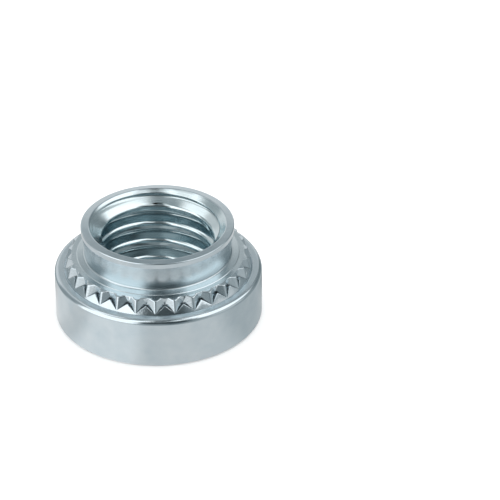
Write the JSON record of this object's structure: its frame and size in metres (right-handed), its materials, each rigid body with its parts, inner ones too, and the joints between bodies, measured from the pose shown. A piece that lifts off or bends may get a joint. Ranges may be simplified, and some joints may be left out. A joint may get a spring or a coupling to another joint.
{
  "type": "self-clinching nut",
  "caption": "Round press-in nut standing head down: plain cylindrical head, knurled clinching ring, waisted pilot with a flared rim, and a countersunk threaded bore.",
  "frame": {"origin": "centre of the head's flat bottom face, on the thread's axis", "axes": "+Z along the thread's axis, from the head towards the pilot's rim; -Y towards the viewer of the picture, +X to the viewer's right"},
  "size_m": [0.0126, 0.0126, 0.0062],
  "materials": {
    "zinc_plate": "bright blue-white zinc plate over turned and cold formed steel"
  },
  "bodies": {
    "root": {"clinch_nut": "zinc_plate"}
  },
  "joints": []
}
